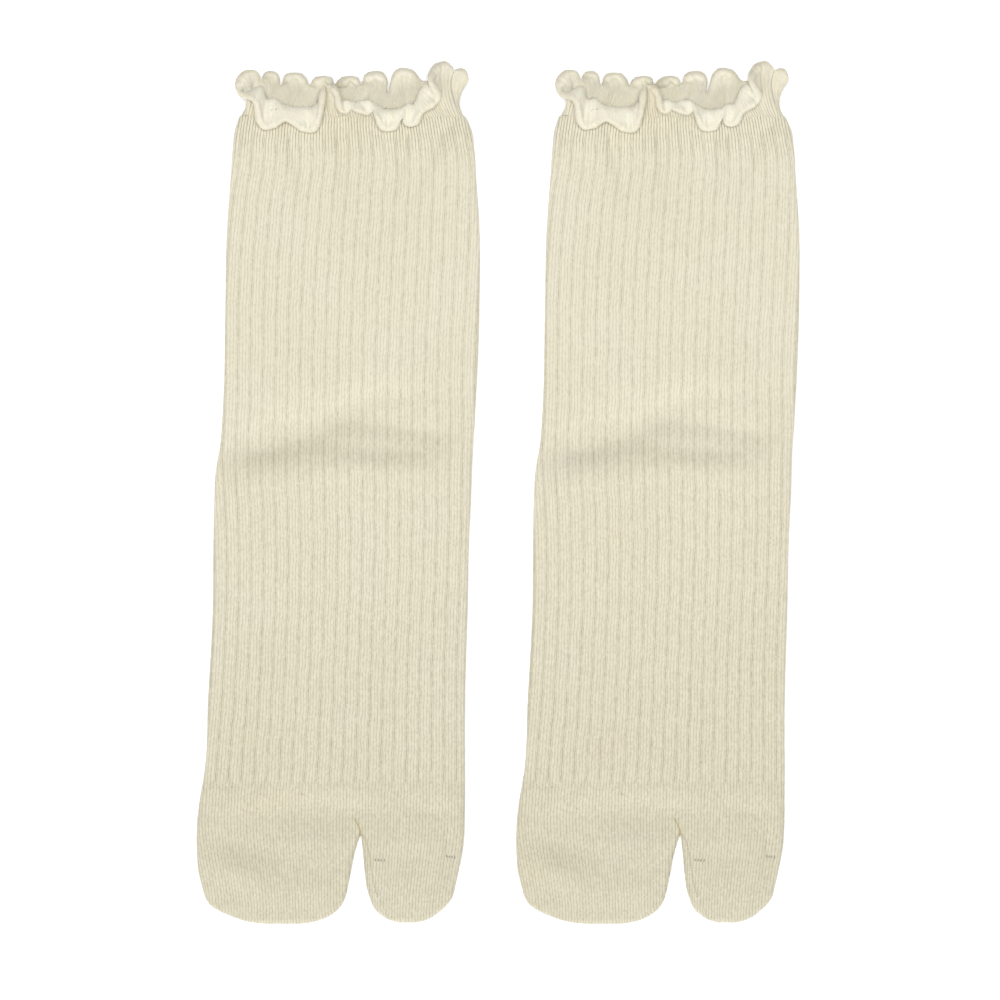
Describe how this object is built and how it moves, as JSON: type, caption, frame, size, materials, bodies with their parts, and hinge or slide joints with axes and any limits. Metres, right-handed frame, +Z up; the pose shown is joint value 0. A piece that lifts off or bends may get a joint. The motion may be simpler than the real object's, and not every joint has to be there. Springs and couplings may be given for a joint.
{
  "type": "pair of tabi socks",
  "caption": "Ribbed knit tabi socks lying flat side by side, each with a plain split toe, a rounded pocket for the big toe, and a rolled ruffle round its open mouth.",
  "frame": {"origin": "on the surface the socks lie on, under the middle of the pair", "axes": "+X across the pair to the sock on the right, +Y along the socks from the toes to the mouths, +Z up from the surface"},
  "size_m": [0.2244, 0.3188, 0.0129],
  "materials": {
    "rib_knit": "cream cotton rib knit, matt",
    "plain_knit": "cream cotton plain knit, matt",
    "ruffle_knit": "pale cream rolled-edge knit, matt"
  },
  "bodies": {
    "root": {"left_sock_tube": "rib_knit", "left_sock_toe": "plain_knit", "left_sock_ruffle": "ruffle_knit", "right_sock_tube": "rib_knit", "right_sock_toe": "plain_knit", "right_sock_ruffle": "ruffle_knit"}
  },
  "joints": []
}
